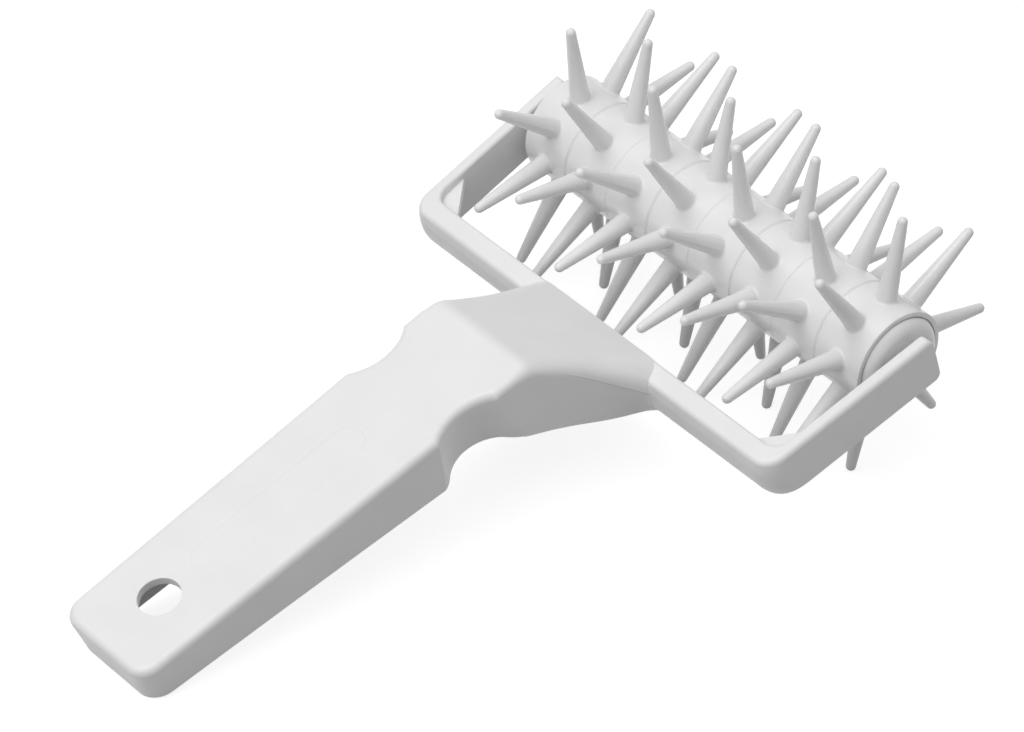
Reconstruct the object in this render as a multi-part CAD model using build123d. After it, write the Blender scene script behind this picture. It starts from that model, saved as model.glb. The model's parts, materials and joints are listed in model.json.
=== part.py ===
from build123d import *
import os
from math import asin, atan, atan2, cos, degrees, hypot, radians, sin, tan

# Dough docker, in millimetres.
# A plastic handle frame carries a steel axle, and on the axle turns a roller of eight spiked rings.
# Everything is drawn in the frame of the yoke first: X runs along the axle, Y from the handle to the
# roller, Z square to the yoke's flat top, with the origin in the middle of the axle.
# At the end the whole tool is tilted to the way it lies on a table, on its spikes and on its tail.

# Spiked rings
ring_count = 8
ring_width = 13.75
drum_radius = 12.0
spikes_per_ring = 8
spike_ball_circle = 31.5
spike_tip_radius = 1.15
spike_root_radius = 2.35
spike_root_fillet = 0.6
spike_root_depth = 2.0
key_to_spike_angle = 9.65
groove_bevel = 0.4
seam_bevel = 0.15
ring_recess_radius = 10.9
ring_recess_depth = 3.0
# The seventh ring sits turned a little in the play of its keyway.
turned_ring = 7
turned_ring_angle = 4.9

# Core tube that carries the rings
core_radius = 7.4
core_wall = 2.0
core_key_width = 3.0
core_key_height = 1.2
key_play_angle = 5.5
core_fit = 0.05

# End caps of the roller
cap_rim_radius = 10.55
cap_rim_width = 2.7
cap_rim_lip = 0.1
cap_face_height = 1.85
cap_rim_crown = 0.45
cap_seat_fit = 0.05
cap_groove_depth = 0.6
cap_hub_radius = 4.3
cap_hub_fillet = 0.4
cap_spigot_length = 8.0
cap_spigot_fit = 0.02
arm_side_gap = 0.3

# Steel axle
axle_radius = 3.0
axle_running_fit = 0.06
axle_seat_fit = 0.02
axle_end_gap = 0.05
axle_chamfer = 0.4

# Yoke: cross bar and two arms
yoke_top = 7.2
yoke_bottom = -5.2
bar_inner_y = -36.35
bar_flat_width = 4.9
bar_edge_radius = 1.3
bar_bulge = 1.0
bar_bulge_height = 7.0
bar_foot_width = 3.55
# Room between the roller and an arm's inner face, where the arm leaves the bar.
yoke_side_room = 1.65
arm_inner_half = ring_count * ring_width / 2 + yoke_side_room
arm_splay_angle = 2.87
arm_thickness = 3.1
arm_front_y = 5.3
arm_nose_lean = 0.2
arm_nose_bulge = 0.15
arm_tip_fillet = 1.8
yoke_inner_edge_fillet = 0.8
yoke_outer_corner = 5.0
yoke_inner_corner = 3.5
gusset_along_arm = 8.5
gusset_along_bar = 7.0
gusset_drop = 2.0
gusset_thickness = 1.6
boss_radius = 4.6
boss_height = 0.55
socket_floor = 1.3

# Handle
tail_y = -172.7
crease_y = -64.3
handle_top_at_crease = 30.9
handle_top_rise_angle = 1.12
handle_half_at_crease = 15.82
handle_taper_angle = 0.83
handle_bottom_at_bend = 14.78
bend_to_crease = 8.7
handle_bend_y = crease_y - bend_to_crease
handle_bend_blend = 2.5
handle_bottom_rise_angle = 4.6
# The side walls stand upright at the neck and lean in by this much at the tail, where the tail's
# wall leans in as well.
side_lean_angle = 5.5
tail_lean_angle = 5.6
handle_wall = 2.0
handle_side_wall = 3.5
handle_top_fillet = 1.7
tail_corner = 5.0
neck_foot_to_bar = 4.65
neck_foot_y = bar_inner_y - neck_foot_to_bar

# Neck: at stations along it, its half width below the rounded shoulders, its half width at the
# lower rim and the radius of the shoulders. Values between the stations lie on a smooth curve.
neck_start_to_crease = 4.7
neck_start_y = crease_y - neck_start_to_crease
neck_station_shares = [0, 0.061, 0.144, 0.245, 0.337, 0.459, 0.551, 0.643, 0.735, 0.827, 0.91, 1]
neck_half_width = [15.75, 15.79, 15.88, 16.02, 16.3, 17.0, 17.9, 19.1, 20.3, 21.6, 22.5, 23.9]
neck_rim_half_width = [15.75, 15.79, 15.9, 16.2, 16.6, 17.3, 17.7, 17.95, 18.05, 18.2, 18.6, 19.2]
neck_shoulder_radius = [1.7, 2.3, 3.0, 3.6, 4.0, 4.7, 5.5, 6.4, 7.2, 7.9, 8.5, 8.5]
neck_start_steps = 4
crease_steps = 8
neck_steps = 20
neck_hollow_steps = 5
neck_wall = 2.3
crease_blend = 1.7

# Concave blends between the neck's walls and the bar: their radii at shares of the yoke's height.
neck_blend_shares = [0, 0.22, 0.46, 0.66, 0.82, 0.93]
neck_blend_radii = [3.6, 3.6, 3.4, 2.8, 1.8, 0.6]
neck_blend_sink = 0.05

# Finger scallops
scallop_top_to_crease = 18.1
scallop_top_y = crease_y - scallop_top_to_crease
scallop_top_radius = 14.0
scallop_top_depth = 2.25
scallop_rim_to_crease = 17.6
scallop_rim_y = crease_y - scallop_rim_to_crease
scallop_rim_radius = 10.0
scallop_rim_depth = 6.1
scallop_rim_corner = 6.5

# Hang hole, and the low raised panel on the handle's top
hang_hole_to_tail = 16.8
hang_hole_y = tail_y + hang_hole_to_tail
hang_hole_radius = 4.9
panel_length = 48.0
panel_width = 9.4
panel_height = 0.12
panel_edge_angle = 72.0
panel_to_crease = 58.3
panel_y = crease_y - panel_to_crease

# One overrun serves all cuts.
overrun = 5.0


def handle_top(y):
    """Height of the handle's top at y, on the line that rises gently towards the tail."""
    return handle_top_at_crease + (crease_y - y) * tan(radians(handle_top_rise_angle))


def handle_bottom(y):
    """Height of the handle's open rim at y, which rises towards the tail."""
    return handle_bottom_at_bend + (handle_bend_y - y) * tan(radians(handle_bottom_rise_angle))


def neck_top(y):
    """Height of the top near the neck: handle line, soft crease, then the slope down to the bar."""
    handle_slope = -tan(radians(handle_top_rise_angle))
    neck_slope = (yoke_top - handle_top_at_crease) / (bar_inner_y - crease_y)
    into_blend = y - (crease_y - crease_blend)
    if into_blend < 0:
        return handle_top(y)
    if into_blend < 2 * crease_blend:
        return handle_top(y) + (neck_slope - handle_slope) * into_blend**2 / (4 * crease_blend)
    return handle_top_at_crease + neck_slope * (y - crease_y)


def neck_bottom(y):
    """Height of the neck's lower rim at y, level with the yoke's underside past its foot."""
    share = (y - handle_bend_y) / (neck_foot_y - handle_bend_y)
    return handle_bottom_at_bend + min(share, 1) * (yoke_bottom - handle_bottom_at_bend)


def at_station(values, y):
    """Value at y on a smooth curve through the values given at the neck's stations."""
    length = bar_inner_y - neck_start_y
    stations = [neck_start_y + share * length for share in neck_station_shares]
    last = len(stations) - 1
    left = max(number for number in range(last) if stations[number] <= y or number == 0)
    slopes = []
    for number in (left, left + 1):
        low = max(number - 1, 0)
        high = min(number + 1, last)
        slopes.append((values[high] - values[low]) / (stations[high] - stations[low]))
    step = stations[left + 1] - stations[left]
    share = (y - stations[left]) / step
    start = values[left] * (1 + 2 * share) * (1 - share) ** 2
    end = values[left + 1] * share**2 * (3 - 2 * share)
    bend = step * share * (1 - share) * (slopes[0] * (1 - share) - slopes[1] * share)
    return start + end + bend


def handle_half(y):
    """Half width of the handle at y."""
    return handle_half_at_crease + (y - crease_y) * tan(radians(handle_taper_angle))


def handle_half_at(y, z):
    """Half width of the handle at y and at height z, where its side walls lean in below the top."""
    lean = tan(radians(side_lean_angle)) * (neck_start_y - y) / (neck_start_y - tail_y)
    return handle_half(y) - lean * (handle_top(y) - z)


def arm_inner(y):
    """X of an arm's inner face at y: the arms spread a little towards the roller."""
    return arm_inner_half + (y - bar_inner_y) * tan(radians(arm_splay_angle))


def prism_x(outline, half_width):
    """Solid between -half_width and half_width in X over an outline drawn in (y, z)."""
    return extrude(Plane.YZ * make_face(outline), amount=half_width, both=True)


def edges_near_top(solid, top_of, tolerance):
    """Edges of a solid whose whole length lies on the surface z = top_of(y)."""
    found = []
    for edge in solid.edges():
        places = [edge @ share for share in (0, 0.5, 1)]
        if all(abs(place.Z - top_of(place.Y)) < tolerance for place in places):
            found.append(edge)
    return found


# Handle: a tray turned upside down, open underneath

def scallop_outline(height, side, place, inset):
    """Plan of a finger scallop at one height: an arc that runs into the wall crisply or by round corners."""
    centre_y, arc_radius, depth, corner_radius = place
    wall = handle_half_at(centre_y, height) - inset
    radius = arc_radius + inset
    corner = max(corner_radius - inset, 0)
    centre_x = wall + inset - depth + arc_radius
    past_wall = 0 if corner > 0 else handle_wall / 2
    turn = asin((centre_x - wall - past_wall + corner) / (radius + corner))
    touch = (centre_x - radius * sin(turn), radius * cos(turn))
    if corner > 0:
        half_turn = (turn + radians(90)) / 2
        edge_y = (radius + corner) * cos(turn)
        corner_x = wall - corner
        middle = (corner_x + corner * sin(half_turn), edge_y - corner * cos(half_turn))
        edge = (wall, edge_y)
    else:
        edge = (touch[0] + handle_wall * cos(turn), touch[1] + handle_wall * sin(turn))
    far = (wall + scallop_top_radius, edge[1])

    def at(point, end):
        return (side * point[0], centre_y + end * point[1])

    def run_out(end):
        if corner > 0:
            return ThreePointArc(at(edge, end), at(middle, end), at(touch, end))
        return Line(at(edge, end), at(touch, end))

    outline = [
        Line(at(far, -1), at(edge, -1)),
        run_out(-1),
        ThreePointArc(at(touch, -1), at((centre_x - radius, 0), 1), at(touch, 1)),
        run_out(1),
        Line(at(edge, 1), at(far, 1)),
        Line(at(far, 1), at(far, -1)),
    ]
    wider = handle_half_at(neck_start_y, height) - handle_half_at(centre_y, height)
    widening = wider / (neck_start_y - centre_y)
    along_wall = Rot(0, 0, -side * degrees(atan(widening)))
    pivot = side * wall
    return Pos(pivot, centre_y, height) * along_wall * Pos(-pivot, -centre_y, 0) * make_face(outline)


def scallop_cutter(side, inset):
    """Cutter of one finger scallop: crisp at the handle's top and blended at its rim."""
    top = (scallop_top_y, scallop_top_radius, scallop_top_depth, 0)
    rim = (scallop_rim_y, scallop_rim_radius, scallop_rim_depth, scallop_rim_corner)
    top_z = handle_top(scallop_top_y) + handle_wall
    rim_z = handle_bottom(scallop_rim_y) - handle_wall
    return loft([scallop_outline(rim_z, side, rim, inset), scallop_outline(top_z, side, top, inset)])


def handle_block(inset, side_inset):
    """Handle body from the tail to the neck's start; with insets it is the hollow inside."""
    low = yoke_bottom - 2 * overrun
    high = handle_top(tail_y) + overrun
    sections = []
    for y in (tail_y - overrun, neck_start_y):
        outline = []
        for side, z in ((-1, low), (1, low), (1, high), (-1, high)):
            outline.append((side * (handle_half_at(y, z) - side_inset), z))
        plane = Plane(origin=(0, y, 0), x_dir=(1, 0, 0), z_dir=(0, -1, 0))
        sections.append(plane * make_face(Polyline(*outline, close=True)))
    block = loft(sections, ruled=True)
    below = overrun if inset else 0
    front = neck_start_y
    back = tail_y + inset
    foot = back + (handle_top(tail_y) - handle_bottom(back)) * tan(radians(tail_lean_angle))
    bend_back = handle_bend_y - handle_bend_blend
    bend_front = handle_bend_y + handle_bend_blend
    rim = (
        (bend_back, handle_bottom(bend_back) - below),
        (bend_front, neck_bottom(bend_front) - below),
    )
    rim_slope = -tan(radians(handle_bottom_rise_angle))
    neck_slope = (yoke_bottom - handle_bottom_at_bend) / (neck_foot_y - handle_bend_y)
    outline = [
        Line((foot, handle_bottom(foot) - below), rim[0]),
        Spline(*rim, tangents=((1, rim_slope), (1, neck_slope))),
        Line(rim[1], (front, neck_bottom(front) - below)),
        Line((front, neck_bottom(front) - below), (front, handle_top(front) - inset)),
        Line((front, handle_top(front) - inset), (back, handle_top(back) - inset)),
        Line((back, handle_top(back) - inset), (foot, handle_bottom(foot) - below)),
    ]
    block = block & prism_x(outline, handle_half(front) + overrun)
    corners = []
    for edge in block.edges():
        if (edge @ 0.5).Y < foot and abs((edge @ 0).Z - (edge @ 1).Z) > handle_wall:
            corners.append(edge)
    return fillet(corners, tail_corner - inset)


def neck_section(y, inset, side_inset):
    """Outline of the neck in the plane at y: leaning walls and two round shoulders."""
    lean = atan2(handle_top_at_crease - yoke_top, bar_inner_y - crease_y)
    top = neck_top(y) - inset / cos(lean)
    bottom = neck_bottom(y) - (overrun if inset else 0)
    half = at_station(neck_half_width, y) - side_inset
    rim_half = at_station(neck_rim_half_width, y) - side_inset
    radius = max(at_station(neck_shoulder_radius, y) - inset, inset / 4)
    inner = half - radius
    bend = radius * sin(radians(45))
    outline = [
        Line((-rim_half, bottom), (-half, top - radius)),
        ThreePointArc((-half, top - radius), (-inner - bend, top - radius + bend), (-inner, top)),
        Line((-inner, top), (inner, top)),
        ThreePointArc((inner, top), (inner + bend, top - radius + bend), (half, top - radius)),
        Line((half, top - radius), (rim_half, bottom)),
        Line((rim_half, bottom), (-rim_half, bottom)),
    ]
    return Plane(origin=(0, y, 0), x_dir=(1, 0, 0), z_dir=(0, -1, 0)) * make_face(outline)


def spread(start, end, count):
    """Places at equal steps after start, up to and with end."""
    return [start + (end - start) * number / count for number in range(1, count + 1)]


def neck_shell(grip):
    """Neck from the grip's front end to the bar, in fine steps over the soft crease."""
    places = spread(neck_start_y, crease_y - crease_blend, neck_start_steps)
    places += spread(crease_y - crease_blend, crease_y + crease_blend, crease_steps)
    places += spread(crease_y + crease_blend, bar_inner_y, neck_steps)
    sections = [grip.faces().sort_by(Axis.Y)[-1]]
    for y in places:
        sections.append(neck_section(y, 0, 0))
    return loft(sections, ruled=True)


def neck_hollow():
    """Hollow of the neck, from inside the handle to the closing wall behind the bar."""
    end = bar_inner_y - bar_flat_width - bar_bulge - neck_wall
    sections = [neck_section(neck_start_y, neck_wall, handle_side_wall)]
    for y in spread(neck_start_y, end, neck_hollow_steps):
        sections.append(neck_section(y, neck_wall, neck_wall))
    return loft(sections, ruled=True)


# Yoke: cross bar, arms, corner webs and axle bosses

def bar_outer_arc():
    """Side view of the bar's outer face, drawn in (y, z): it bulges a little and leans in to its foot."""
    back = bar_inner_y - bar_flat_width
    waist = (back - bar_bulge, yoke_bottom + bar_bulge_height)
    foot = (bar_inner_y - bar_foot_width, yoke_bottom)
    return ThreePointArc((back, yoke_top), waist, foot)


def yoke_bar_and_arms():
    """U of the yoke: the bar's outer face bulges a little and leans in towards its foot."""
    back = bar_inner_y - bar_flat_width
    bulge = back - 2 * bar_bulge
    front = arm_front_y + 2 * arm_nose_bulge
    outer_back = arm_inner(bulge) + arm_thickness
    outer_front = arm_inner(front) + arm_thickness
    plan = make_face(
        Polyline(
            (-outer_back, bulge),
            (outer_back, bulge),
            (outer_front, front),
            (-outer_front, front),
            close=True,
        )
    )
    block = Pos(0, 0, yoke_bottom) * extrude(plan, amount=yoke_top - yoke_bottom)
    foot = (bar_inner_y - bar_foot_width, yoke_bottom)
    nose_foot = (arm_front_y - arm_nose_lean, yoke_bottom)
    nose = (arm_front_y - arm_nose_lean / 2 + arm_nose_bulge, (yoke_bottom + yoke_top) / 2)
    outline = [
        Line(foot, nose_foot),
        ThreePointArc(nose_foot, nose, (arm_front_y, yoke_top)),
        Line((arm_front_y, yoke_top), (back, yoke_top)),
        bar_outer_arc(),
    ]
    solid = block & prism_x(outline, outer_front + overrun)
    corners = []
    for edge in solid.edges():
        if (edge @ 0.5).Y < bar_inner_y and abs((edge @ 0).Z - (edge @ 1).Z) > bar_foot_width:
            corners.append(edge)
    solid = fillet(corners, yoke_outer_corner)
    solid = fillet(solid.edges().group_by(Axis.Z)[-1], bar_edge_radius)
    tips = []
    for edge in solid.edges().group_by(Axis.Z)[0]:
        if (edge @ 0.5).Y > arm_front_y - arm_tip_fillet:
            tips.append(edge)
    solid = fillet(tips, arm_tip_fillet)

    open_front = arm_front_y + overrun
    gap = make_face(
        Polyline(
            (-arm_inner(bar_inner_y), bar_inner_y),
            (arm_inner(bar_inner_y), bar_inner_y),
            (arm_inner(open_front), open_front),
            (-arm_inner(open_front), open_front),
            close=True,
        )
    )
    gap = fillet(gap.vertices().filter_by_position(Axis.Y, bar_inner_y, bar_inner_y), yoke_inner_corner)
    gap_height = yoke_top - yoke_bottom + 2 * overrun
    solid -= Pos(0, 0, yoke_bottom - overrun) * extrude(gap, amount=gap_height)
    inner_edges = []
    for edge in solid.edges().group_by(Axis.Z)[-1]:
        middle = edge @ 0.5
        reach = arm_inner(middle.Y) + bar_edge_radius / 2
        if middle.Y > bar_inner_y - bar_edge_radius and abs(middle.X) < reach:
            inner_edges.append(edge)
    return fillet(inner_edges, yoke_inner_edge_fillet)


def neck_wall_half(y, z):
    """Half width of the neck at y and at height z, on its wall or on its round shoulder."""
    radius = at_station(neck_shoulder_radius, y)
    half = at_station(neck_half_width, y)
    shoulder_z = neck_top(y) - radius
    if z > shoulder_z:
        return half - radius + (radius**2 - (z - shoulder_z) ** 2) ** 0.5
    rim_half = at_station(neck_rim_half_width, y)
    bottom = neck_bottom(y)
    return rim_half + (half - rim_half) * (z - bottom) / (shoulder_z - bottom)


def neck_blend(side):
    """Concave blend in the corner between one neck wall and the bar's outer face."""
    arc = bar_outer_arc()
    levels = []
    for share, radius in zip(neck_blend_shares, neck_blend_radii):
        z = yoke_bottom + share * (yoke_top - yoke_bottom)
        corner_y = arc.arc_center.X - (arc.radius**2 - (z - arc.arc_center.Y) ** 2) ** 0.5
        corner_x = neck_wall_half(corner_y, z)
        lean = atan((corner_x - neck_wall_half(corner_y - radius, z)) / radius)
        half_angle = (radians(90) + lean) / 2
        run = radius / tan(half_angle)
        middle = radius / sin(half_angle) - radius - neck_blend_sink
        on_wall = (corner_x - run * sin(lean), corner_y - run * cos(lean))
        bend = (corner_x + middle * cos(half_angle), corner_y - middle * sin(half_angle))
        on_bar = (corner_x + run, corner_y + neck_blend_sink)
        in_bar = (corner_x + run, corner_y + radius / 2)
        in_neck = (on_wall[0] - radius / 2, corner_y + radius / 2)
        beside = (on_wall[0] - radius / 2, on_wall[1])
        start = (on_wall[0] - neck_blend_sink, on_wall[1])
        points = [start, bend, on_bar, in_bar, in_neck, beside]
        points = [(side * x, y) for x, y in points]
        outline = [ThreePointArc(*points[:3]), Polyline(*points[2:], points[0])]
        levels.append(Pos(0, 0, z) * make_face(outline))
    blend = loft(levels, ruled=True)
    behind = bar_inner_y - bar_flat_width - bar_bulge - 2 * neck_blend_radii[0]
    outline = Polyline(
        (behind, neck_bottom(behind)),
        (neck_foot_y, yoke_bottom),
        (bar_inner_y, yoke_bottom),
        (bar_inner_y, yoke_top),
        (behind, yoke_top),
        close=True,
    )
    return blend & prism_x([outline], arm_inner_half)


def gusset(side):
    """Thin triangular web in an inner corner of the yoke, a little below its top."""
    corner_x = arm_inner(bar_inner_y) + arm_thickness / 2
    corner_y = bar_inner_y - bar_flat_width / 2
    along_y = bar_inner_y + gusset_along_arm
    along_x = arm_inner(bar_inner_y) - gusset_along_bar
    web = make_face(
        Polyline(
            (side * corner_x, corner_y),
            (side * along_x, corner_y),
            (side * along_x, bar_inner_y),
            (side * arm_inner(along_y), along_y),
            (side * corner_x, along_y),
            close=True,
        )
    )
    return Pos(0, 0, yoke_top - gusset_drop - gusset_thickness) * extrude(web, amount=gusset_thickness)


def boss_face():
    """X of the flat face of an arm's axle boss."""
    return arm_inner(0) - boss_height


def socket_end():
    """X of the blind end of an arm's axle socket."""
    return arm_inner(0) + arm_thickness - socket_floor


def handle_frame():
    """Handle, neck and yoke, moulded in one piece."""
    grip = handle_block(0, 0)
    for side in (-1, 1):
        grip -= scallop_cutter(side, 0)
    top_edges = []
    for edge in edges_near_top(grip, handle_top, handle_wall / 10):
        if (edge @ 0.5).Y < neck_start_y - handle_wall / 10:
            top_edges.append(edge)
    grip = fillet(top_edges, handle_top_fillet)
    frame = grip + neck_shell(grip) + yoke_bar_and_arms()
    for side in (-1, 1):
        frame += neck_blend(side)
        frame += gusset(side)
        boss_length = arm_inner(0) + arm_thickness / 2 - boss_face()
        boss = Cylinder(boss_radius, boss_length)
        frame += Pos(side * (boss_face() + boss_length / 2), 0, 0) * Rot(0, 90, 0) * boss

    hollow = handle_block(handle_wall, handle_side_wall) + neck_hollow()
    for side in (-1, 1):
        hollow -= scallop_cutter(side, handle_side_wall)
    frame -= hollow

    socket = Cylinder(axle_radius + axle_seat_fit, 2 * socket_end())
    frame -= Rot(0, 90, 0) * socket
    hole = Cylinder(hang_hole_radius, 4 * handle_wall)
    frame -= Pos(0, hang_hole_y, handle_top(hang_hole_y)) * Rot(-handle_top_rise_angle, 0, 0) * hole
    panel_foot = Pos(0, 0, -panel_height) * SlotOverall(panel_length, panel_width, rotation=90)
    panel = extrude(panel_foot, amount=2 * panel_height, taper=panel_edge_angle)
    frame += Pos(0, panel_y, handle_top(panel_y)) * Rot(-handle_top_rise_angle, 0, 0) * panel
    return frame


# Roller: core tube, rings and end caps, drawn round the X axis with the key pointing up

def core_tube():
    """Tube with two keys on it, which the rings slide onto."""
    length = ring_count * ring_width - 2 * ring_recess_depth
    tube = Cylinder(core_radius, length)
    for side in (-1, 1):
        key = Box(core_key_width, core_radius, length)
        middle = core_radius + core_key_height - core_radius / 2
        tube += Pos(0, side * middle, 0) * key
    tube -= Cylinder(core_radius - core_wall, length)
    return Rot(90, 0, 0) * Rot(0, 90, 0) * tube


def spike():
    """One tapered spike with a round tip and a flared root, standing on the drum along +Z."""
    base = drum_radius - spike_root_depth
    slope = atan((spike_root_radius - spike_tip_radius) / (spike_ball_circle - drum_radius))
    root_at_base = spike_root_radius + spike_root_depth * tan(slope)
    tip_x = spike_tip_radius * cos(slope)
    tip_z = spike_ball_circle + spike_tip_radius * sin(slope)
    top = spike_ball_circle + spike_tip_radius
    mid_angle = (slope + radians(90)) / 2
    mid = (spike_tip_radius * cos(mid_angle), spike_ball_circle + spike_tip_radius * sin(mid_angle))
    outline = [
        Line((0, base), (root_at_base, base)),
        Line((root_at_base, base), (tip_x, tip_z)),
        ThreePointArc((tip_x, tip_z), mid, (0, top)),
        Line((0, top), (0, base)),
    ]
    return revolve(Plane.XZ * make_face(outline), Axis.Z)


def spiked_ring():
    """Ring moulding round the Z axis: a deep groove bevel on its low end and a recess in its high end."""
    half = ring_width / 2
    ring = Cylinder(drum_radius, ring_width)
    ring = chamfer(ring.edges().group_by(Axis.Z)[0], groove_bevel)
    ring = chamfer(ring.edges().group_by(Axis.Z)[-1], seam_bevel)
    key_angle = 90
    for number in range(spikes_per_ring):
        angle = key_angle - key_to_spike_angle + number * 360 / spikes_per_ring
        ring += Rot(0, 0, angle) * Rot(0, 90, 0) * spike()
    roots = []
    for edge in ring.edges().filter_by(GeomType.BSPLINE) + ring.edges().filter_by(GeomType.OTHER):
        place = edge @ 0.25
        if abs(hypot(place.X, place.Y) - drum_radius) < spike_root_fillet:
            roots.append(edge)
    ring = fillet(roots, spike_root_fillet)
    ring -= Cylinder(core_radius + core_fit, 2 * ring_width)
    keyway_reach = hypot(core_radius + core_key_height, core_key_width / 2) + core_fit
    keyway_half = core_key_width / 2 + keyway_reach * tan(radians(key_play_angle))
    for side in (-1, 1):
        keyway = Box(2 * keyway_half, keyway_reach, 2 * ring_width)
        ring -= Pos(0, side * keyway_reach / 2, 0) * keyway
    recess = Cylinder(ring_recess_radius, 2 * ring_recess_depth)
    ring -= Pos(0, 0, half) * recess
    return ring


def ring_place(number):
    """Where ring number 1, 2, ... goes: every other ring is turned end for end about its key."""
    x = (number - (ring_count + 1) / 2) * ring_width
    turn = turned_ring_angle if number == turned_ring else 0
    along_axle = Rot(90, 0, 0) * Rot(0, 90, 0)
    end_for_end = Rot(0, 0, 180) if number % 2 else Rot(0, 0, 0)
    return Pos(x, 0, 0) * Rot(turn, 0, 0) * end_for_end * along_axle


def end_cap():
    """Cap for the +X end: a crowned rim round a flat face with a hub, and a spigot in the core tube."""
    seat = ring_count * ring_width / 2 - ring_recess_depth
    end = ring_count * ring_width / 2
    face = end + cap_face_height
    hub_end = boss_face() - arm_side_gap
    seat_radius = ring_recess_radius - cap_seat_fit
    step = end - cap_groove_depth
    lip = end + cap_rim_lip
    rim_inner = cap_rim_radius - cap_rim_width
    slope = hypot(cap_rim_width, face - lip)
    crown = (
        cap_rim_radius - cap_rim_width / 2 + cap_rim_crown * (face - lip) / slope,
        (lip + face) / 2 + cap_rim_crown * cap_rim_width / slope,
    )
    outline = [
        Polyline((0, seat), (seat_radius, seat), (seat_radius, step), (cap_rim_radius, step)),
        Line((cap_rim_radius, step), (cap_rim_radius, lip)),
        ThreePointArc((cap_rim_radius, lip), crown, (rim_inner, face)),
        Polyline((rim_inner, face), (0, face), (0, seat)),
    ]
    cap = revolve(Plane.XZ * make_face(outline), Axis.Z)
    hub = Cylinder(cap_hub_radius, hub_end - seat)
    hub = fillet(hub.edges().group_by(Axis.Z)[-1], cap_hub_fillet)
    spigot_radius = core_radius - core_wall - cap_spigot_fit
    spigot = Pos(0, 0, seat - cap_spigot_length / 2) * Cylinder(spigot_radius, cap_spigot_length)
    cap += Pos(0, 0, (seat + hub_end) / 2) * hub
    cap += spigot
    cap -= Cylinder(axle_radius + axle_running_fit, 4 * hub_end)
    return Rot(90, 0, 0) * Rot(0, 90, 0) * cap


def axle_rod():
    """Steel rod that sits in the blind sockets of both arms."""
    length = 2 * (socket_end() - axle_end_gap)
    rod = chamfer(Cylinder(axle_radius, length).edges(), axle_chamfer)
    return Rot(0, 90, 0) * rod


# The way the docker lies: the spikes of two neighbouring rings and the tail's rim touch the table.
axle_height = spike_ball_circle * cos(radians(key_to_spike_angle)) + spike_tip_radius
tail_rim_z = handle_bottom(tail_y)
rest_tilt = degrees(asin(axle_height / hypot(tail_y, tail_rim_z)) + atan2(tail_rim_z, -tail_y))


def main():
    os.makedirs("parts", exist_ok=True)
    frame = Rot(rest_tilt, 0, 0) * handle_frame()
    back = frame.bounding_box().min.Y
    front = axle_height
    rest = Pos(0, -(back + front) / 2, axle_height)

    pieces = {"handle_frame": frame, "axle_rod": axle_rod(), "core_tube": core_tube()}
    ring = spiked_ring()
    for number in range(1, ring_count + 1):
        pieces[f"spiked_ring_{number}"] = ring_place(number) * ring
    right_cap = end_cap()
    pieces["end_cap_right"] = right_cap
    pieces["end_cap_left"] = Rot(0, 0, 180) * right_cap

    for name, piece in pieces.items():
        export_step(rest * piece, f"parts/{name}.step")
    print("axle height", round(axle_height, 3), "rest tilt", round(rest_tilt, 3))
    print("axle y", round(-(back + front) / 2, 3), "back", round(back, 3))


main()
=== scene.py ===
# %% [markdown]
# Dough docker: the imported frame
# A dough docker rolls spikes over flat dough so that it bakes without blisters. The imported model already
# holds its real solids, so this lesson starts from them, and it never moves them. All lengths are in
# metres.

# %% Load the frame
from math import cos, pi, radians, sin, tan

import bmesh
import bpy
from mathutils import Matrix, Vector
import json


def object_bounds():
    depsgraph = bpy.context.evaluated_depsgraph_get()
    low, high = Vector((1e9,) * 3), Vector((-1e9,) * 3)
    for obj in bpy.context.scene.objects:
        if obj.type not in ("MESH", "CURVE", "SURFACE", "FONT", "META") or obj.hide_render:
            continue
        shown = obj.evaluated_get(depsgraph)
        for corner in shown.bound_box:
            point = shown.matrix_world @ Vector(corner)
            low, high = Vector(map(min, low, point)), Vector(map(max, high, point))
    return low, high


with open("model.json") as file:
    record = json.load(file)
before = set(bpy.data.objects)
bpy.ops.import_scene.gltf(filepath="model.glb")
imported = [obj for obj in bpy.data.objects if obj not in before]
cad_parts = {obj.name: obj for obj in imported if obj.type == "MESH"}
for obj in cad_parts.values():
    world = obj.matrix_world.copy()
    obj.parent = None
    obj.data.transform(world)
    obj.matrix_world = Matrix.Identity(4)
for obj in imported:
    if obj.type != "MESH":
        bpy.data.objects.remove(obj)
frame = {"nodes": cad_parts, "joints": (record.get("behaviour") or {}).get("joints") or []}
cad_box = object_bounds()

MM = 0.001
nodes = frame["nodes"]
spin_axis = Vector(frame["joints"][0]["pos_m"])
print("Nodes:", len(nodes), "- roller axis at", [round(v / MM, 2) for v in spin_axis])

# %% [markdown]
# The camera
# A long lens stands far away, so the spikes near and far come out almost the same size. The lens and the
# place of the camera were worked out from the straight lines of the tool itself: its bar, its arms and its
# rows of spikes. A camera object looks along its own -Z with +Y up, so its three axes are written as the
# columns of a matrix.

# %% Place the camera
frame_width = 1024
lens_pixels = 6174.8
sensor_mm = 36.0
rest_tilt = radians(18.175)
camera_right = Vector((0.64504, 0.73134, -0.22150))
camera_down = Vector((0.48938, -0.61799, -0.61531))
camera_ahead = Vector((-0.58689, 0.28850, -0.75653))
camera_place = Vector((781.09, -444.40, 1022.01)) * MM

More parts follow.
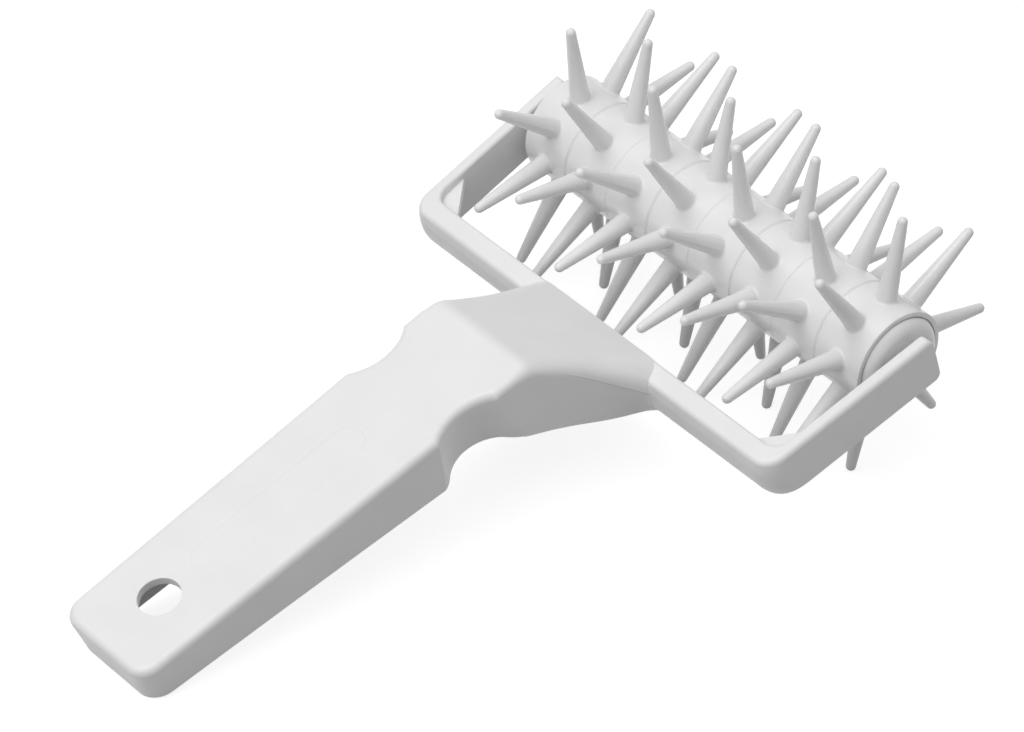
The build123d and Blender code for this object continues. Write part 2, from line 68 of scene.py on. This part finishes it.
lay_down = Matrix.Rotation(rest_tilt, 3, "X")
columns = (lay_down @ camera_right, lay_down @ -camera_down, lay_down @ -camera_ahead)
camera_data = bpy.data.cameras.new("camera")
camera_data.sensor_width = sensor_mm
camera_data.lens = sensor_mm * lens_pixels / frame_width
camera_data.clip_end = 20.0
camera = bpy.data.objects.new("camera", camera_data)
place = lay_down @ camera_place + spin_axis
camera.matrix_world = Matrix.Translation(place) @ Matrix(columns).transposed().to_4x4()
bpy.context.scene.collection.objects.link(camera)
bpy.context.scene.camera = camera
bpy.context.scene.view_settings.view_transform = "Standard"
print("Lens:", round(camera_data.lens, 1), "mm, camera at", [round(v, 3) for v in place])

# %% [markdown]
# The plastic
# The handle and the roller are injection moulded in a pale, slightly milky plastic. A mould leaves three
# things on it: a fine even grain from the spark-eroded steel, a slow waviness where the walls sank as they
# cooled, and a sheen that changes a little from place to place. Each is a noise pattern of its own size,
# and all three read Object coordinates, so they keep their real scale on every piece and stay on the roller
# when it turns.

# %% A material for moulded plastic
mottle_scale = 90
mottle_step = 0.012
sheen_scale = 260
sheen_step = 0.04
wave_scale = 110
wave_height = 0.05 * MM
grain_scale = 5200
grain_height = 0.012 * MM


def moulded_plastic(name, grey, roughness):
    """Satin plastic with mottling, uneven sheen, mould grain and slight sink waves."""
    material = bpy.data.materials.new(name)
    material.use_nodes = True
    tree = material.node_tree
    shader = tree.nodes["Principled BSDF"]
    place = tree.nodes.new("ShaderNodeTexCoord").outputs["Object"]

    def noise(scale, detail):
        texture = tree.nodes.new("ShaderNodeTexNoise")
        texture.inputs["Scale"].default_value = scale
        texture.inputs["Detail"].default_value = detail
        tree.links.new(place, texture.inputs["Vector"])
        return texture.outputs["Fac"]

    def between(value, low, high):
        spread = tree.nodes.new("ShaderNodeMapRange")
        spread.inputs["From Min"].default_value = 0.3
        spread.inputs["From Max"].default_value = 0.7
        spread.inputs["To Min"].default_value = low
        spread.inputs["To Max"].default_value = high
        tree.links.new(value, spread.inputs["Value"])
        return spread.outputs["Result"]

    def bump(height, strength, distance, under=None):
        node = tree.nodes.new("ShaderNodeBump")
        node.inputs["Strength"].default_value = strength
        node.inputs["Distance"].default_value = distance
        tree.links.new(height, node.inputs["Height"])
        if under:
            tree.links.new(under, node.inputs["Normal"])
        return node.outputs["Normal"]

    tone = tree.nodes.new("ShaderNodeMix")
    tone.data_type = "RGBA"
    tone.inputs["A"].default_value = (grey - mottle_step,) * 3 + (1,)
    tone.inputs["B"].default_value = (grey + mottle_step,) * 3 + (1,)
    tree.links.new(between(noise(mottle_scale, 3), 0, 1), tone.inputs["Factor"])
    tree.links.new(tone.outputs["Result"], shader.inputs["Base Color"])
    sheen = between(noise(sheen_scale, 4), roughness - sheen_step, roughness + sheen_step)
    tree.links.new(sheen, shader.inputs["Roughness"])
    waves = bump(noise(wave_scale, 1), 0.35, wave_height)
    grain = bump(noise(grain_scale, 2), 0.22, grain_height, waves)
    tree.links.new(grain, shader.inputs["Normal"])
    shader.inputs["IOR"].default_value = 1.49
    shader.inputs["Subsurface Weight"].default_value = 0.12
    shader.inputs["Subsurface Radius"].default_value = (1.0, 0.95, 0.9)
    shader.inputs["Subsurface Scale"].default_value = 0.9 * MM
    print(name, "roughness", roughness)
    return material


handle_plastic = moulded_plastic("handle_plastic_satin", 0.80, 0.40)
roller_plastic = moulded_plastic("roller_plastic_satin", 0.80, 0.22)

# %% [markdown]
# The mould's parting line
# Where the two halves of the mould met, a hairline of plastic stands on each side of the neck, just under
# its round shoulder. It lies in one flat plane that slopes down with the neck. So the material measures how
# far each point is from that plane, with a dot product, and a narrow band of points is raised. A second
# band along Y fades the line out before the handle and before the bar.

# %% Draw the parting line into the handle's plastic
line_start = Vector((0, 14.0, 32.6)) * MM
line_end = Vector((0, 27.0, 24.5)) * MM
line_half_width = 0.3 * MM
line_height = 0.14 * MM
line_fade = 6.0 * MM


def parting_line(material, start, end):
    """Raised hairline where the plane through X and both points cuts the surface."""
    tree = material.node_tree
    shader = tree.nodes["Principled BSDF"]
    place = tree.nodes["Texture Coordinate"].outputs["Object"]
    along = (end - start).normalized()
    across = Vector((0, -along.z, along.y))

    def distance(direction):
        dot = tree.nodes.new("ShaderNodeVectorMath")
        dot.operation = "DOT_PRODUCT"
        dot.inputs[1].default_value = direction
        tree.links.new(place, dot.inputs[0])
        return dot.outputs["Value"]

    def band(value, middle, flat, edge):
        """1 within flat of the middle, falling to 0 over edge."""
        away = tree.nodes.new("ShaderNodeMath")
        away.operation = "SUBTRACT"
        away.inputs[1].default_value = middle
        tree.links.new(value, away.inputs[0])
        size = tree.nodes.new("ShaderNodeMath")
        size.operation = "ABSOLUTE"
        tree.links.new(away.outputs["Value"], size.inputs[0])
        fall = tree.nodes.new("ShaderNodeMapRange")
        fall.inputs["From Min"].default_value = flat
        fall.inputs["From Max"].default_value = flat + edge
        fall.inputs["To Min"].default_value = 1.0
        fall.inputs["To Max"].default_value = 0.0
        tree.links.new(size.outputs["Value"], fall.inputs["Value"])
        return fall.outputs["Result"]

    both = tree.nodes.new("ShaderNodeMath")
    both.operation = "MULTIPLY"
    hairline = band(distance(across), across.dot(start), 0.0, line_half_width)
    reach = band(distance(along), along.dot((start + end) / 2), (end - start).length / 2, line_fade)
    tree.links.new(hairline, both.inputs[0])
    tree.links.new(reach, both.inputs[1])
    ridge = tree.nodes.new("ShaderNodeBump")
    ridge.inputs["Distance"].default_value = line_height
    tree.links.new(both.outputs["Value"], ridge.inputs["Height"])
    tree.links.new(shader.inputs["Normal"].links[0].from_socket, ridge.inputs["Normal"])
    tree.links.new(ridge.outputs["Normal"], shader.inputs["Normal"])
    print("Parting line", round((end - start).length / MM, 1), "mm long, plus its fading ends")


parting_line(handle_plastic, line_start, line_end)

# %% [markdown]
# The steel rod
# The axle is a plain drawn rod. Drawing leaves fine lines along its length, so the noise is stretched along
# X by a Mapping node that squeezes X only. The lines show as bands of roughness and as a very shallow bump.

# %% A material for drawn steel
line_scale = 2600
line_stretch = 0.02
line_depth = 0.01 * MM


def drawn_steel(name):
    """Bright steel with fine lines along X."""
    material = bpy.data.materials.new(name)
    material.use_nodes = True
    tree = material.node_tree
    shader = tree.nodes["Principled BSDF"]
    place = tree.nodes.new("ShaderNodeTexCoord").outputs["Object"]
    stretch = tree.nodes.new("ShaderNodeMapping")
    stretch.inputs["Scale"].default_value = (line_stretch, 1, 1)
    tree.links.new(place, stretch.inputs["Vector"])
    lines = tree.nodes.new("ShaderNodeTexNoise")
    lines.inputs["Scale"].default_value = line_scale
    lines.inputs["Detail"].default_value = 3
    tree.links.new(stretch.outputs["Vector"], lines.inputs["Vector"])
    sheen = tree.nodes.new("ShaderNodeMapRange")
    sheen.inputs["To Min"].default_value = 0.22
    sheen.inputs["To Max"].default_value = 0.42
    tree.links.new(lines.outputs["Fac"], sheen.inputs["Value"])
    tree.links.new(sheen.outputs["Result"], shader.inputs["Roughness"])
    groove = tree.nodes.new("ShaderNodeBump")
    groove.inputs["Strength"].default_value = 0.3
    groove.inputs["Distance"].default_value = line_depth
    tree.links.new(lines.outputs["Fac"], groove.inputs["Height"])
    tree.links.new(groove.outputs["Normal"], shader.inputs["Normal"])
    shader.inputs["Base Color"].default_value = (0.62, 0.62, 0.64, 1)
    shader.inputs["Metallic"].default_value = 1.0
    return material


axle_steel = drawn_steel("axle_steel_drawn")
print("Steel for the axle:", axle_steel.name)

# %% [markdown]
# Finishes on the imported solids
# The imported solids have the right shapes, so they stay, and each one gets its finish in its material slots.
# The steel rod hardly shows between an arm and an end cap, but it is there from below, so it is finished
# too.

# %% Dress the nodes
def dress(node, material):
    """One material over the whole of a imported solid."""
    materials = nodes[node].data.materials
    materials.clear()
    materials.append(material)


roller_nodes = [name for name in nodes if name not in ("handle_frame", "axle_rod")]
dress("handle_frame", handle_plastic)
dress("axle_rod", axle_steel)
for name in roller_nodes:
    dress(name, roller_plastic)
print("Dressed", len(nodes), "solids")

# %% [markdown]
# Floor, background and light
# The picture needs a plain white background, but the object must not be lit by more than it needs. So the
# floor and the world show a different value to the camera, and to mirror-like rays, than to the light that
# bounces: Light Path tells the rays apart. The floor keeps the soft shadow of the tool, because part of
# what the camera sees there is still a lit diffuse surface.

# %% Lay the floor
floor_size = 6.0
floor_grey = 0.34
floor_shadow_share = 0.3
floor_lit_level = 0.5

floor_mesh = bpy.data.meshes.new("floor")
bm = bmesh.new()
bmesh.ops.create_grid(bm, x_segments=1, y_segments=1, size=floor_size / 2)
bm.to_mesh(floor_mesh)
bm.free()
floor = bpy.data.objects.new("floor", floor_mesh)
bpy.context.scene.collection.objects.link(floor)

floor_material = bpy.data.materials.new("floor_pale")
floor_material.use_nodes = True
tree = floor_material.node_tree
tree.nodes.clear()
output = tree.nodes.new("ShaderNodeOutputMaterial")
bounced = tree.nodes.new("ShaderNodeBsdfDiffuse")
bounced.inputs["Color"].default_value = (floor_grey,) * 3 + (1,)
shown = tree.nodes.new("ShaderNodeBsdfDiffuse")
shown.inputs["Color"].default_value = (floor_shadow_share,) * 3 + (1,)
white = tree.nodes.new("ShaderNodeEmission")
white.inputs["Strength"].default_value = 1 - floor_shadow_share * floor_lit_level
seen = tree.nodes.new("ShaderNodeAddShader")
tree.links.new(shown.outputs["BSDF"], seen.inputs[0])
tree.links.new(white.outputs["Emission"], seen.inputs[1])


def shown_rays(tree):
    """1 for the rays that should see the white background: camera, mirror-like and see-through ones."""
    rays = tree.nodes.new("ShaderNodeLightPath").outputs
    value = rays["Is Camera Ray"]
    for kind in ("Is Glossy Ray", "Is Transmission Ray"):
        either = tree.nodes.new("ShaderNodeMath")
        either.operation = "MAXIMUM"
        tree.links.new(value, either.inputs[0])
        tree.links.new(rays[kind], either.inputs[1])
        value = either.outputs["Value"]
    return value


choose = tree.nodes.new("ShaderNodeMixShader")
tree.links.new(shown_rays(tree), choose.inputs["Fac"])
tree.links.new(bounced.outputs["BSDF"], choose.inputs[1])
tree.links.new(seen.outputs["Shader"], choose.inputs[2])
tree.links.new(choose.outputs["Shader"], output.inputs["Surface"])
floor_mesh.materials.append(floor_material)
print("Floor", floor_size, "m wide")

# %% [markdown]
# Three soft lamps
# The shading of the tool is that of a small studio: one large soft lamp straight overhead, a smaller and
# brighter one almost overhead, and a third one low on the side of the handle's end. The smaller one draws
# the streaks of light along the spikes and lets the seams between the rings show, which a large lamp alone
# would wash out. A lamp's power is worked out here from the brightness its face should have, so each can be
# resized without changing how strongly it lights. The world adds a faint fill from all round.

# %% Hang the lamps
def soft_lamp(name, toward, distance, half_angle, brightness):
    """Round area lamp that covers half_angle as seen from the tool, with a face of that brightness."""
    data = bpy.data.lights.new(name, "AREA")
    data.shape = "DISK"
    radius = distance * tan(half_angle)
    data.size = 2 * radius
    data.energy = brightness * pi * pi * radius**2
    lamp = bpy.data.objects.new(name, data)
    lamp.location = tool_middle + toward.normalized() * distance
    lamp.rotation_euler = (-toward).to_track_quat("-Z", "Y").to_euler()
    bpy.context.scene.collection.objects.link(lamp)
    print(name, "radius", round(radius, 2), "m, power", round(data.energy, 1), "W")


tool_middle = (cad_box[0] + cad_box[1]) / 2
toward_top = Vector((0, 0, 1))
toward_streaks = Vector((-0.24, -0.25, 0.94))
front_rise = radians(38)
toward_front = Vector((0, -cos(front_rise), sin(front_rise)))
soft_lamp("lamp_overhead", toward_top, distance=2.0, half_angle=radians(40), brightness=0.69)
soft_lamp("lamp_streaks", toward_streaks, distance=2.2, half_angle=radians(14), brightness=3.0)
soft_lamp("lamp_front", toward_front, distance=2.6, half_angle=radians(20), brightness=2.0)

# %% Set the world
fill_strength = 0.36
world = bpy.data.worlds.new("studio")
bpy.context.scene.world = world
world.use_nodes = True
tree = world.node_tree
fill = tree.nodes["Background"]
fill.inputs["Color"].default_value = (1, 1, 1, 1)
fill.inputs["Strength"].default_value = fill_strength
backdrop = tree.nodes.new("ShaderNodeBackground")
backdrop.inputs["Strength"].default_value = 1.0
choose = tree.nodes.new("ShaderNodeMixShader")
tree.links.new(shown_rays(tree), choose.inputs["Fac"])
tree.links.new(fill.outputs["Background"], choose.inputs[1])
tree.links.new(backdrop.outputs["Background"], choose.inputs[2])
tree.links.new(choose.outputs["Shader"], tree.nodes["World Output"].inputs["Surface"])
print("World fill", fill_strength)

# %% [markdown]

# %% Import json
import json
